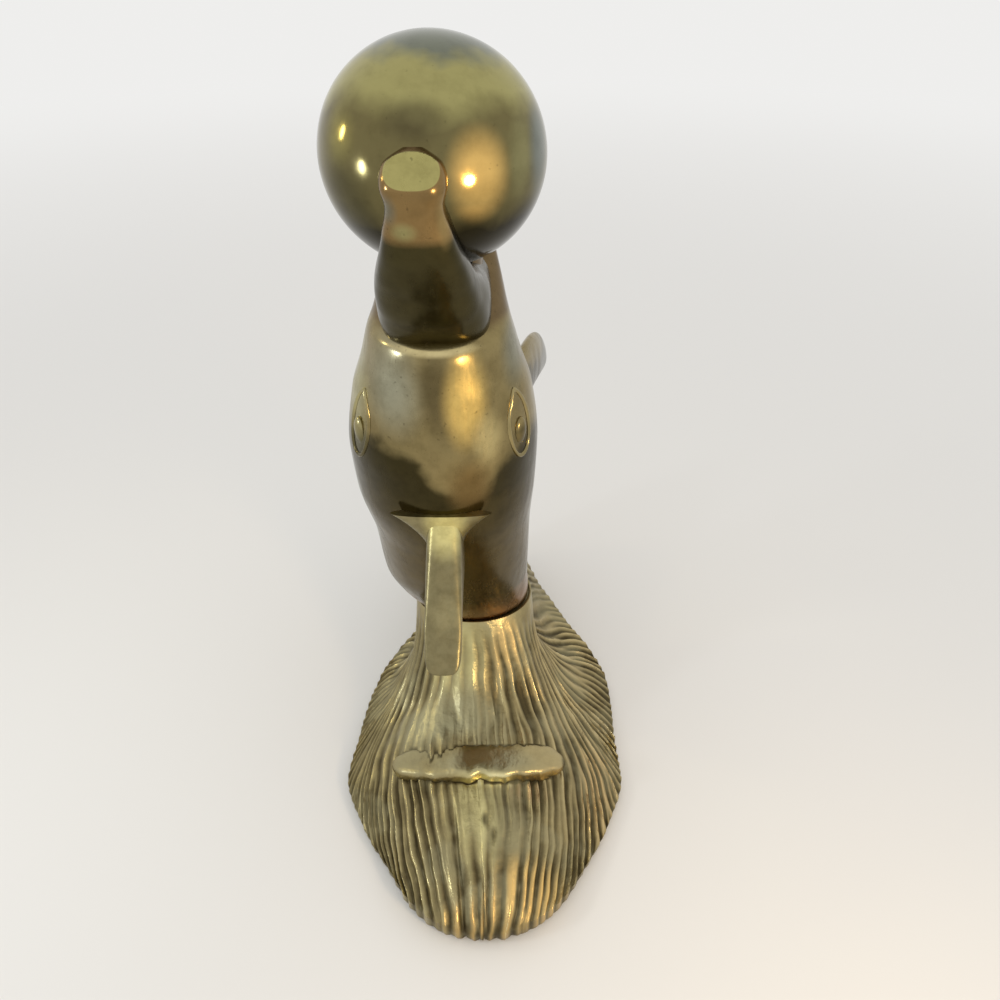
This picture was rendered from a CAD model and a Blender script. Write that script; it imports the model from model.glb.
"""Dressed model of a cast brass dolphin that stands on a wave and holds a ball.

Lengths are metres and +Z is up. The dolphin's back faces -Y and its belly +Y.
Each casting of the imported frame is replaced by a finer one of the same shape,
with its strands, creases, eyes, pits and patina.
"""

import logging
import math
from dataclasses import dataclass, field
from enum import Enum
from typing import Dict, List, Optional, Sequence, Tuple, Union

import bmesh
import bpy
import numpy as np
from mathutils import Matrix, Vector, noise


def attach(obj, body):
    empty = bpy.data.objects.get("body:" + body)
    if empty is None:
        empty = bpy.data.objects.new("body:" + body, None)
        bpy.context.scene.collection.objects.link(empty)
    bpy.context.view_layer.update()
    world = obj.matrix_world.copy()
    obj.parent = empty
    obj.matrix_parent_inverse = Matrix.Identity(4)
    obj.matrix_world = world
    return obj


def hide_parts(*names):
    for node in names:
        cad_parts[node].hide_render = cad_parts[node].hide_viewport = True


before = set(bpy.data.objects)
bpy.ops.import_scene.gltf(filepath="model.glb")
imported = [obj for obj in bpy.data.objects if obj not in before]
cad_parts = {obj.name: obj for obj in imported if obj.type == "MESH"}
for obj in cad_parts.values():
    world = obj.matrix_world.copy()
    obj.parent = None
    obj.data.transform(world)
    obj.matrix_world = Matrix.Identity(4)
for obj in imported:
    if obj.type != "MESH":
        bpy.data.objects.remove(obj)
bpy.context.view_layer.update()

LOG = logging.getLogger("dolphin")

Colour = Tuple[float, float, float]
Socket = bpy.types.NodeSocket
Value = Union[float, Socket]
Paint = Union[Colour, Socket]
Profile = Union[float, np.ndarray]

GAP = 0.0003
WELD = 2e-6
SEAT_HEIGHT = 0.0570
DOLPHIN_X = -0.0110
FOOT = Vector((-0.0044, 0.0140, SEAT_HEIGHT))
FOOT_HALF_WIDTH = 0.0215
FOOT_HALF_DEPTH = 0.0168
STUD_RADIUS = 0.0040


class Joining(Enum):
    """Ways to combine two closed meshes."""

    UNION = "UNION"
    CUT = "DIFFERENCE"


class Sum(Enum):
    """Ways to combine two numbers."""

    PLUS = "ADD"
    LESS = "SUBTRACT"
    TIMES = "MULTIPLY"


class Mixing(Enum):
    """Ways to lay one colour over another."""

    COVER = "MIX"
    DARKEN = "MULTIPLY"
    LIGHTEN = "SCREEN"


class Easing(Enum):
    """Ways to read a value onto a rise."""

    SMOOTH = "SMOOTHSTEP"
    EVEN = "LINEAR"


class Hand(Enum):
    """Side of the dolphin, as the sign of X."""

    LEFT = -1.0
    RIGHT = 1.0


class SmoothTable:
    """Smooth curve through rows of (place, value, value ...)."""

    def __init__(self, rows: Sequence[Sequence[float]]) -> None:
        """Work out the slope at each row.

        Args:
            rows: Rows sorted by their first number, the place.
        """
        data = np.array(rows, dtype=float)
        self.places = data[:, 0]
        self.values = data[:, 1:]
        steps = np.diff(self.values, axis=0) / np.diff(self.places)[:, None]
        slopes = np.zeros_like(self.values)
        slopes[0], slopes[-1] = steps[0], steps[-1]
        left, right = steps[:-1], steps[1:]
        turning = left * right <= 0.0
        total = np.where(turning, 1.0, left + right)
        slopes[1:-1] = np.where(turning, 0.0, 2.0 * left * right / total)
        self.slopes = slopes

    def at(self, places: np.ndarray) -> List[np.ndarray]:
        """Read the curve.

        Args:
            places: Places of any shape.

        Returns:
            One array of that shape for each value column.
        """
        places = np.clip(np.asarray(places, dtype=float), self.places[0], self.places[-1])
        row = np.clip(np.searchsorted(self.places, places, side="right") - 1, 0, len(self.places) - 2)
        span = self.places[row + 1] - self.places[row]
        part = (places - self.places[row]) / span
        squared, cubed = part ** 2, part ** 3
        read = []
        for column in range(self.values.shape[1]):
            start, end = self.values[row, column], self.values[row + 1, column]
            slope_in = self.slopes[row, column] * span
            slope_out = self.slopes[row + 1, column] * span
            read.append(start * (2.0 * cubed - 3.0 * squared + 1.0)
                        + slope_in * (cubed - 2.0 * squared + part)
                        + end * (3.0 * squared - 2.0 * cubed)
                        + slope_out * (cubed - squared))
        return read


def rounding(share: np.ndarray, power: float) -> np.ndarray:
    """Share of the full size left at a share of the way to an end of that bluntness."""
    return np.sqrt(np.clip(1.0 - np.abs(share) ** power, 0.0, None))


def eased(value: np.ndarray, low: float, high: float) -> np.ndarray:
    """Rise smoothly from 0 at the low value to 1 at the high one."""
    part = np.clip((value - low) / (high - low), 0.0, 1.0)
    return part * part * (3.0 - 2.0 * part)


def rows(x: Profile, y: Profile, z: Profile) -> np.ndarray:
    """Points or ways put together from their parts along X, Y and Z."""
    return np.stack(np.broadcast_arrays(x, y, z), axis=-1)


def from_least(least: float, share: np.ndarray) -> np.ndarray:
    """Share that starts at the least instead of 0 and still ends at 1."""
    return least + (1.0 - least) * share


@dataclass(frozen=True)
class Swell:
    """Soft noise in space: its strength, the size of one swell and a seed of its own."""

    strength: float
    size: float
    seed: float

    def at(self, points: np.ndarray) -> np.ndarray:
        """Read the noise.

        Args:
            points: Points as (..., 3).

        Returns:
            One value for each point, up to about the strength either way.
        """
        flat = points.reshape(-1, 3) / self.size + self.seed
        read = [noise.noise(Vector(row)) for row in flat]
        return self.strength * np.array(read).reshape(points.shape[:-1])


def skin(table: np.ndarray, layers: Optional[Dict[str, np.ndarray]] = None) -> bpy.types.Mesh:
    """Lay a grid over a table of points and weld its seam and poles.

    Args:
        table: Points as (rings, columns, 3).
        layers: Named values for each point, kept as attributes.

    Returns:
        A closed mesh with its faces outwards.
    """
    rings, columns = table.shape[0] - 1, table.shape[1] - 1
    build = bmesh.new()
    bmesh.ops.create_grid(build, x_segments=columns, y_segments=rings, size=1.0)
    kept = [(build.verts.layers.float.new(name), values) for name, values in (layers or {}).items()]
    for vert in build.verts:
        column = round((vert.co.x + 1.0) / 2.0 * columns)
        ring = round((vert.co.y + 1.0) / 2.0 * rings)
        vert.co = table[ring, column]
        for layer, values in kept:
            vert[layer] = values[ring, column]
    bmesh.ops.remove_doubles(build, verts=build.verts, dist=WELD)
    bmesh.ops.recalc_face_normals(build, faces=build.faces)
    return made_mesh(build)


def made_mesh(build: bmesh.types.BMesh) -> bpy.types.Mesh:
    """Turn a bmesh into a mesh and free it.

    Args:
        build: The bmesh.

    Returns:
        The new mesh.
    """
    mesh = bpy.data.meshes.new("shape")
    build.to_mesh(mesh)
    build.free()
    return mesh


def loft(centres: np.ndarray, across: np.ndarray, deep: np.ndarray, columns: int,
         power: Profile = 2.0, layers: Optional[Dict[str, Profile]] = None) -> bpy.types.Mesh:
    """Run a closed body through sections, with a pole at each end.

    Args:
        centres: Middle of each section as (rings, 3).
        across: Half width of each section as (rings, 3).
        deep: Half depth of each section as (rings, 3).
        columns: Points round a section.
        power: 2 for an ellipse, more for a squarer section.
        layers: Named values, kept as attributes.

    Returns:
        The closed mesh.
    """
    turn = np.linspace(0.0, 2.0 * math.pi, columns + 1)
    cosine, sine = np.cos(turn), np.sin(turn)
    cosine[-1], sine[-1] = cosine[0], sine[0]
    bend = 2.0 / np.broadcast_to(power, (len(centres),))[:, None]
    width = np.sign(cosine) * np.abs(cosine) ** bend
    depth = np.sign(sine) * np.abs(sine) ** bend
    table = centres[:, None] + width[..., None] * across[:, None] + depth[..., None] * deep[:, None]
    poles = [np.repeat(centres[end][None, None], columns + 1, axis=1) for end in (0, -1)]
    table = np.concatenate([poles[0], table, poles[1]])
    filled = {}
    for name, value in (layers or {}).items():
        along = np.pad(np.broadcast_to(value, (len(centres),)), 1, mode="edge")
        filled[name] = np.repeat(along[:, None], columns + 1, axis=1)
    return skin(table, filled)


def rod(radius: float, start: Vector, end: Vector, segments: int = 64) -> bpy.types.Mesh:
    """Round rod between two points.

    Args:
        radius: Radius of the rod.
        start: Middle of one end.
        end: Middle of the other end.
        segments: Points round it.

    Returns:
        The closed mesh.
    """
    build = bmesh.new()
    bmesh.ops.create_cone(build, cap_ends=True, segments=segments,
                          radius1=radius, radius2=radius, depth=(end - start).length)
    turn = (end - start).to_track_quat("Z", "Y").to_matrix().to_4x4()
    bmesh.ops.transform(build, matrix=Matrix.Translation((start + end) / 2.0) @ turn,
                        verts=build.verts)
    return made_mesh(build)


def combined(base: bpy.types.Mesh,
             tools: Sequence[Tuple[bpy.types.Mesh, Joining]]) -> bpy.types.Mesh:
    """Join closed meshes to a closed mesh or cut them away.

    Args:
        base: Mesh to start from.
        tools: Meshes with the way each is combined, in order.

    Returns:
        The combined mesh.
    """
    scene_objects = [bpy.data.objects.new("shape", base)]
    for tool, joining in tools:
        helper = bpy.data.objects.new("tool", tool)
        scene_objects.append(helper)
        modifier = scene_objects[0].modifiers.new("join", "BOOLEAN")
        modifier.operation = joining.value
        modifier.solver = "MANIFOLD"
        modifier.object = helper
    for helper in scene_objects:
        bpy.context.scene.collection.objects.link(helper)
    graph = bpy.context.evaluated_depsgraph_get()
    mesh = bpy.data.meshes.new_from_object(scene_objects[0].evaluated_get(graph))
    for helper in scene_objects:
        bpy.data.objects.remove(helper, do_unlink=True)
    return mesh


def piece(name: str, mesh: bpy.types.Mesh, material: bpy.types.Material,
          nodes: Sequence[str], sharp: float = 40.0) -> bpy.types.Object:
    """Put a finished mesh in the scene in place of its frame nodes.

    Args:
        name: Name of the piece.
        mesh: Its mesh, in place.
        material: Its finish.
        nodes: Frame nodes that it stands for.
        sharp: Angle in degrees over which an edge stays sharp.

    Returns:
        The new object.
    """
    mesh.name = name
    mesh.materials.clear()
    mesh.materials.append(material)
    mesh.shade_smooth()
    mesh.set_sharp_from_angle(angle=math.radians(sharp))
    made = bpy.data.objects.new(name, mesh)
    bpy.context.scene.collection.objects.link(made)
    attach(made, "root")
    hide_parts(*nodes)
    mesh.calc_loop_triangles()
    LOG.info("%s: %d triangles", name, len(mesh.loop_triangles))
    return made


@dataclass(frozen=True)
class Patch:
    """Soft spot of another tone on a finish."""

    centre: Tuple[float, float, float]
    reach: Tuple[float, float, float]
    colour: Colour
    share: float


@dataclass(frozen=True)
class Mottle:
    """Uneven darker tint over a finish."""

    size: float
    low: float
    high: float
    share: float
    tint: Colour


@dataclass(frozen=True)
class Specks:
    """Small dark specks on a finish."""

    size: float
    low: float
    high: float
    share: float
    colour: Colour


class Recipe:
    """Node tree of one material, with short ways to add its nodes."""

    def __init__(self, name: str) -> None:
        """Start a material with one metallic shader.

        Args:
            name: Name of the material.
        """
        self.material = bpy.data.materials.new(name)
        self.material.use_nodes = True
        self.nodes = self.material.node_tree.nodes
        self.links = self.material.node_tree.links
        self.shader = self.nodes["Principled BSDF"]
        self.place = self.nodes.new("ShaderNodeTexCoord").outputs["Object"]

    def join(self, value: Union[Value, Paint], socket: Socket) -> None:
        """Link a socket, or set a plain number or colour.

        Args:
            value: Socket, number or colour.
            socket: Input that takes it.
        """
        if isinstance(value, bpy.types.NodeSocket):
            self.links.new(value, socket)
        elif isinstance(value, tuple):
            socket.default_value = (*value, 1.0)
        else:
            socket.default_value = value

    def axis(self, letter: str) -> Socket:
        """Object coordinate along X, Y or Z."""
        node = self.nodes.new("ShaderNodeSeparateXYZ")
        self.links.new(self.place, node.inputs[0])
        return node.outputs[letter]

    def attribute(self, name: str) -> Socket:
        """Named value of the mesh."""
        node = self.nodes.new("ShaderNodeAttribute")
        node.attribute_name = name
        return node.outputs["Fac"]

    def stretched(self, scale: Tuple[float, float, float]) -> Socket:
        """Object coordinates stretched along the axes."""
        node = self.nodes.new("ShaderNodeMapping")
        node.inputs["Scale"].default_value = scale
        self.links.new(self.place, node.inputs["Vector"])
        return node.outputs["Vector"]

    def cloud(self, size: float, detail: float = 3.0, rough: float = 0.55,
              place: Optional[Socket] = None) -> Socket:
        """Noise over the object.

        Args:
            size: Size of one swell in metres.
            detail: Number of finer layers.
            rough: Strength of the finer layers.
            place: Coordinates, the object's own if left out.

        Returns:
            Value from 0 to 1.
        """
        node = self.nodes.new("ShaderNodeTexNoise")
        node.inputs["Scale"].default_value = 1.0 / size
        node.inputs["Detail"].default_value = detail
        node.inputs["Roughness"].default_value = rough
        self.links.new(place or self.place, node.inputs["Vector"])
        return node.outputs["Fac"]

    def swell(self, size: float, reach: float, detail: float = 3.0, rough: float = 0.55) -> Socket:
        """Noise about nought, as far up as down, over the given reach."""
        return self.times(self.less(self.cloud(size, detail, rough), 0.5), reach)

    def sum(self, first: Value, second: Value, kind: Sum = Sum.PLUS) -> Socket:
        """Combine two numbers.

        Args:
            first: First number.
            second: Second number.
            kind: Way to combine them.

        Returns:
            The result.
        """
        node = self.nodes.new("ShaderNodeMath")
        node.operation = kind.value
        self.join(first, node.inputs[0])
        self.join(second, node.inputs[1])
        return node.outputs[0]

    def less(self, first: Value, second: Value) -> Socket:
        """First number less the second."""
        return self.sum(first, second, Sum.LESS)

    def times(self, value: Value, factor: Value) -> Socket:
        """Number times a factor."""
        return self.sum(value, factor, Sum.TIMES)

    def rise(self, value: Value, low: float, high: float, start: float = 0.0, end: float = 1.0,
             easing: Easing = Easing.SMOOTH) -> Socket:
        """Read a value onto a rise.

        Args:
            value: Value to read.
            low: Value at which the rise starts.
            high: Value at which it ends.
            start: Result at the start.
            end: Result at the end.
            easing: Form of the rise.

        Returns:
            The result.
        """
        node = self.nodes.new("ShaderNodeMapRange")
        node.interpolation_type = easing.value
        self.join(value, node.inputs["Value"])
        for name, number in (("From Min", low), ("From Max", high),
                             ("To Min", start), ("To Max", end)):
            node.inputs[name].default_value = number
        return node.outputs["Result"]

    def ramp(self, value: Socket, stops: Sequence[Tuple[float, Colour]]) -> Socket:
        """Read a value from 0 to 1 onto a row of colours.

        Args:
            value: Value to read.
            stops: Places with their colours, in order.

        Returns:
            The colour.
        """
        node = self.nodes.new("ShaderNodeValToRGB")
        elements = node.color_ramp.elements
        while len(elements) < len(stops):
            elements.new(0.5)
        for element, (stop, colour) in zip(elements, stops):
            element.position = stop
            element.color = (*colour, 1.0)
        self.links.new(value, node.inputs["Fac"])
        return node.outputs["Color"]

    def blend(self, share: Value, first: Paint, second: Paint,
              kind: Mixing = Mixing.COVER) -> Socket:
        """Mix two colours.

        Args:
            share: Share of the second colour.
            first: First colour.
            second: Second colour.
            kind: Way of mixing.

        Returns:
            The mixed colour.
        """
        node = self.nodes.new("ShaderNodeMix")
        node.data_type = "RGBA"
        node.blend_type = kind.value
        self.join(share, node.inputs["Factor"])
        self.join(first, node.inputs[6])
        self.join(second, node.inputs[7])
        return node.outputs[2]

    def zone(self, centre: Tuple[float, float, float],
             reach: Tuple[float, float, float]) -> Socket:
        """Soft spot round a point, 1 in its middle and 0 past its reach.

        Args:
            centre: Middle of the spot.
            reach: Half sizes of the spot along the axes.

        Returns:
            Share of the spot.
        """
        place = self.place
        for kind, by in (("SUBTRACT", centre), ("DIVIDE", reach)):
            node = self.nodes.new("ShaderNodeVectorMath")
            node.operation = kind
            node.inputs[1].default_value = by
            self.links.new(place, node.inputs[0])
            place = node.outputs[0]
        return self.rise(self.far(place), 1.0, 0.25)

    def far(self, place: Socket) -> Socket:
        """Distance of a place from the origin."""
        node = self.nodes.new("ShaderNodeVectorMath")
        node.operation = "LENGTH"
        self.links.new(place, node.inputs[0])
        return node.outputs["Value"]

    def patched(self, colour: Paint, patches: Sequence[Patch], mask: Value = 1.0) -> Socket:
        """Lay patches of other tones over a colour.

        Args:
            colour: Colour underneath.
            patches: Patches to lay over it, in order.
            mask: Share of every patch that shows.

        Returns:
            The patched colour.
        """
        for patch in patches:
            share = self.times(self.zone(patch.centre, patch.reach), patch.share)
            colour = self.blend(self.times(share, mask), colour, patch.colour)
        return colour

    def mottled(self, colour: Paint, mottle: Mottle) -> Socket:
        """Darken a colour unevenly.

        Args:
            colour: Colour underneath.
            mottle: Tint with its size and strength.

        Returns:
            The mottled colour.
        """
        mask = self.rise(self.cloud(mottle.size, 5.0, 0.65), mottle.low, mottle.high)
        dark = self.blend(1.0, colour, mottle.tint, Mixing.DARKEN)
        return self.blend(self.times(mask, mottle.share), colour, dark)

    def specked(self, colour: Paint, specks: Specks) -> Socket:
        """Strew specks over a colour."""
        mask = self.rise(self.cloud(specks.size, 2.0), specks.low, specks.high)
        return self.blend(self.times(mask, specks.share), colour, specks.colour)

    def relief(self, layers: Sequence[Tuple[Socket, float]], strength: float) -> None:
        """Bump the surface by a sum of heights.

        Args:
            layers: Heights with their depths in metres.
            strength: Strength of the bump.
        """
        height: Value = 0.0
        for value, depth in layers:
            height = self.sum(height, self.times(value, depth))
        node = self.nodes.new("ShaderNodeBump")
        node.inputs["Strength"].default_value = strength
        node.inputs["Distance"].default_value = 1.0
        self.links.new(height, node.inputs["Height"])
        self.links.new(node.outputs["Normal"], self.shader.inputs["Normal"])

    def finish(self, colour: Paint, roughness: Value, metallic: float = 1.0) -> bpy.types.Material:
        """Set the shader's main inputs.

        Args:
            colour: Colour of the metal.
            roughness: Roughness.
            metallic: Share of metal.

        Returns:
            The material.
        """
        self.join(colour, self.shader.inputs["Base Color"])
        self.join(roughness, self.shader.inputs["Roughness"])
        self.shader.inputs["Metallic"].default_value = metallic
        return self.material


@dataclass(frozen=True)
class BodyBrass:
    """Polished brass of body and head, browned lower down and on the beak."""

    low: Colour = (0.112, 0.082, 0.030)
    copper: Colour = (0.300, 0.155, 0.062)
    waist: Colour = (0.050, 0.040, 0.016)
    head: Colour = (0.300, 0.235, 0.105)
    beak: Colour = (0.060, 0.050, 0.020)
    lip_brown: Colour = (0.270, 0.175, 0.070)
    lip: Colour = (0.430, 0.385, 0.145)
    rear_jaw: Colour = (0.170, 0.118, 0.056)
    worn: Colour = (0.400, 0.330, 0.160)
    mottle: Mottle = Mottle(0.006, 0.35, 0.75, 0.40, (0.42, 0.40, 0.34))
    specks: Specks = Specks(0.0012, 0.66, 0.74, 0.35, (0.030, 0.022, 0.010))
    roughness: float = 0.20
    bands: Tuple[float, float] = (0.050, 0.150)
    head_edge_left: Tuple[float, ...] = (-0.026, -0.004, 0.152, 0.134)
    head_edge_right: Tuple[float, ...] = (-0.002, 0.014, 0.0, 0.015)
    head_blur: Tuple[float, float] = (-0.003, 0.005)
    crease: Tuple[float, float] = (0.1822, 0.1848)
    jaw_root: Tuple[float, float] = (0.001, 0.008)
    browning: Tuple[float, float] = (0.690, 0.725)
    worn_share: float = 0.6
    scratched: Tuple[float, float, float] = (1.0, 1.0, 0.16)
    lip_blur: float = 0.0002
    lip_rise: float = 0.26890
    patches: Tuple[Patch, ...] = (
        Patch((-0.0225, -0.018, 0.169), (0.012, 0.022, 0.020), (0.400, 0.395, 0.290), 0.85),
        Patch((-0.0360, -0.008, 0.168), (0.007, 0.030, 0.030), (0.500, 0.470, 0.250), 0.70),
        Patch((-0.0115, -0.026, 0.170), (0.006, 0.020, 0.020), (0.110, 0.085, 0.040), 0.70),
        Patch((-0.0035, -0.026, 0.166), (0.008, 0.020, 0.018), (1.000, 0.680, 0.200), 0.85),
        Patch((0.0025, -0.025, 0.154), (0.006, 0.020, 0.011), (0.640, 0.520, 0.240), 0.70),
        Patch((0.0110, -0.016, 0.177), (0.006, 0.022, 0.015), (0.250, 0.250, 0.180), 0.80),
        Patch((-0.0030, -0.028, 0.138), (0.009, 0.020, 0.014), (0.175, 0.112, 0.040), 0.80),
        Patch((-0.0110, 0.0600, 0.138), (0.050, 0.028, 0.034), (0.075, 0.068, 0.042), 0.85),
        Patch((-0.0110, -0.0265, 0.1812), (0.0185, 0.0080, 0.0020), (0.760, 0.640, 0.330), 0.80))
    jaw_patches: Tuple[Patch, ...] = (
        Patch((-0.0060, -0.037, 0.2190), (0.0026, 0.012, 0.0085), (0.400, 0.280, 0.110), 0.85),
        Patch((-0.0180, -0.036, 0.2215), (0.0030, 0.012, 0.0050), (0.200, 0.200, 0.150), 0.80),
        Patch((-0.0150, -0.036, 0.2165), (0.0042, 0.012, 0.0034), (0.360, 0.340, 0.150), 0.85))

    def material(self) -> bpy.types.Material:
        """Build the node tree.

        Returns:
            The material.
        """
        recipe = Recipe("polished_body_brass")
        level, aside, jaw = recipe.axis("Z"), recipe.axis("X"), recipe.attribute("jaw")
        warped = recipe.sum(level, recipe.swell(0.012, 0.020))
        height = recipe.rise(warped, *self.bands, easing=Easing.EVEN)
        body = recipe.ramp(height, ((0.05, self.low), (0.10, self.copper), (0.16, self.copper),
                                    (0.26, self.low), (0.55, self.low), (0.85, self.waist)))
        edge = recipe.sum(recipe.rise(aside, *self.head_edge_left),
                          recipe.rise(aside, *self.head_edge_right))
        over = recipe.rise(recipe.less(warped, edge), *self.head_blur)
        body = recipe.patched(recipe.blend(over, body, self.head), self.patches)
        colour = recipe.blend(recipe.rise(level, *self.crease), body, self.rear_jaw)
        beak = recipe.ramp(jaw, tuple(zip(self.browning, (self.beak, self.lip_brown))))
        beak = recipe.patched(beak, self.jaw_patches)
        colour = recipe.blend(recipe.rise(jaw, *self.jaw_root), colour, beak)
        forward = recipe.less(level, recipe.axis("Y"))
        on_lip = recipe.rise(forward, self.lip_rise - self.lip_blur, self.lip_rise)
        colour = recipe.blend(on_lip, colour, self.lip)
        colour = recipe.mottled(colour, self.mottle)
        worn = recipe.times(recipe.attribute("worn"), self.worn_share)
        colour = recipe.blend(worn, colour, self.worn)
        colour = recipe.specked(colour, self.specks)
        scratch = recipe.cloud(0.004, 4.0, 0.7, recipe.stretched(self.scratched))
        rough = recipe.rise(scratch, 0.30, 0.75, self.roughness - 0.06, self.roughness + 0.12)
        recipe.relief(((recipe.cloud(0.0150, 2.0), 0.00050), (scratch, 0.000045),
                       (recipe.cloud(0.0011, 2.0), 0.000012)), 0.55)
        return recipe.finish(colour, rough)


@dataclass(frozen=True)
class FinBrass:
    """Satin brass of the dorsal fin, pale at its top and worn at its edges."""

    wing: Colour = (0.300, 0.260, 0.140)
    middle: Colour = (0.255, 0.218, 0.112)
    tip: Colour = (0.078, 0.062, 0.027)
    mottle: Mottle = Mottle(0.0035, 0.35, 0.70, 0.45, (0.52, 0.50, 0.44))
    roughness: float = 0.33
    bands: Tuple[float, float] = (0.078, 0.136)
    brushed: Tuple[float, float, float] = (1.0, 1.0, 0.20)
    patches: Tuple[Patch, ...] = (
        Patch((-0.0105, -0.0320, 0.1270), (0.009, 0.014, 0.013), (0.860, 0.760, 0.320), 0.85),
        Patch((-0.0105, -0.0480, 0.1050), (0.006, 0.020, 0.006), (0.360, 0.310, 0.160), 0.60),
        Patch((-0.0052, -0.0590, 0.0840), (0.0016, 0.010, 0.012), (0.800, 0.560, 0.200), 0.90),
        Patch((-0.0052, -0.0500, 0.1050), (0.0014, 0.014, 0.022), (0.420, 0.330, 0.150), 0.60))

    def material(self) -> bpy.types.Material:
        """Build the node tree.

        Returns:
            The material.
        """
        recipe = Recipe("satin_fin_brass")
        level = recipe.sum(recipe.axis("Z"), recipe.times(recipe.cloud(0.008), 0.006))
        height = recipe.rise(level, *self.bands, easing=Easing.EVEN)
        colour = recipe.ramp(height, ((0.0, self.tip), (0.22, self.middle), (0.72, self.middle),
                                      (0.86, self.wing)))
        colour = recipe.mottled(recipe.patched(colour, self.patches), self.mottle)
        brushed = recipe.cloud(0.0030, 4.0, 0.7, recipe.stretched(self.brushed))
        recipe.relief(((brushed, 0.00012), (recipe.cloud(0.0009, 2.0), 0.00003)), 0.6)
        return recipe.finish(colour, recipe.rise(brushed, 0.3, 0.7, self.roughness - 0.05,
                                                 self.roughness + 0.12))


@dataclass(frozen=True)
class WaveBrass:
    """Cast brass of the wave, dark in its grooves and worn bright on its crests."""

    groove: Colour = (0.085, 0.067, 0.032)
    valley: Colour = (0.285, 0.236, 0.116)
    field: Colour = (0.550, 0.465, 0.230)
    crest: Colour = (0.960, 0.850, 0.520)
    grey: Colour = (0.360, 0.330, 0.195)
    roughness: float = 0.32
    table_shade: float = 0.004
    patches: Tuple[Patch, ...] = (
        Patch((0.0520, 0.0000, 0.020), (0.060, 0.120, 0.070), (0.640, 0.490, 0.250), 0.50),
        Patch((-0.0020, -0.0600, 0.016), (0.014, 0.024, 0.030), (0.780, 0.700, 0.330), 0.70),
        Patch((-0.0120, -0.0100, 0.046), (0.018, 0.014, 0.030), (0.760, 0.690, 0.320), 0.60),
        Patch((-0.0170, -0.0270, 0.028), (0.026, 0.012, 0.030), (0.380, 0.360, 0.220), 0.75),
        Patch((0.0090, -0.0090, 0.048), (0.008, 0.014, 0.018), (1.000, 0.680, 0.260), 0.80),
        Patch((0.0150, -0.0830, 0.008), (0.018, 0.014, 0.020), (1.000, 0.640, 0.210), 0.80),
        Patch((0.0430, -0.0440, 0.012), (0.012, 0.030, 0.030), (0.760, 0.520, 0.230), 0.60),
        Patch((0.0000, -0.0930, 0.008), (0.016, 0.010, 0.020), (0.640, 0.410, 0.140), 0.70),
        Patch((0.0160, -0.0520, 0.016), (0.010, 0.006, 0.014), (0.500, 0.300, 0.150), 0.60),
        Patch((-0.0020, -0.0430, 0.0275), (0.036, 0.008, 0.0040), (0.390, 0.370, 0.240), 0.70),
        Patch((0.0050, -0.0500, 0.0240), (0.013, 0.0026, 0.0050), (0.950, 0.880, 0.500), 0.85),
        Patch((-0.0310, -0.0090, 0.0450), (0.014, 0.020, 0.030), (0.150, 0.130, 0.075), 0.70),
        Patch((0.0011, -0.0625, 0.016), (0.0024, 0.0040, 0.020), (0.050, 0.038, 0.018), 0.95),
        Patch((0.0036, -0.0672, 0.016), (0.0022, 0.0036, 0.020), (0.060, 0.045, 0.022), 0.90))

    def material(self) -> bpy.types.Material:
        """Build the node tree.

        Returns:
            The material.
        """
        recipe = Recipe("worn_wave_brass")
        groove = recipe.less(1.0, recipe.attribute("crest"))
        stained = recipe.swell(0.0060, 1.0, 5.0, 0.65)
        uneven = recipe.sum(groove, recipe.times(stained, 0.55))
        colour = recipe.ramp(uneven, ((0.05, self.field), (0.45, self.valley), (0.90, self.groove)))
        greyed = recipe.rise(recipe.cloud(0.0180, 3.0), 0.45, 0.60)
        colour = recipe.blend(recipe.times(greyed, 0.40), colour, self.grey)
        colour = recipe.patched(colour, self.patches, recipe.rise(groove, 0.75, 0.25))
        bright = recipe.rise(recipe.sum(groove, recipe.times(stained, 0.20)), 0.16, 0.02)
        colour = recipe.blend(recipe.times(bright, 0.80), colour,
                              recipe.blend(0.55, self.crest, colour, Mixing.LIGHTEN))
        below = recipe.rise(recipe.axis("Z"), self.table_shade, 0.0)
        colour = recipe.blend(recipe.times(below, 0.6), colour, self.groove)
        recipe.relief(((recipe.cloud(0.0045, 3.0), 0.00045),
                       (recipe.cloud(0.0016, 4.0, 0.7), 0.00014)), 0.8)
        rough = recipe.rise(groove, 0.1, 0.8, self.roughness - 0.10, self.roughness + 0.22)
        return recipe.finish(colour, rough)


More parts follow.
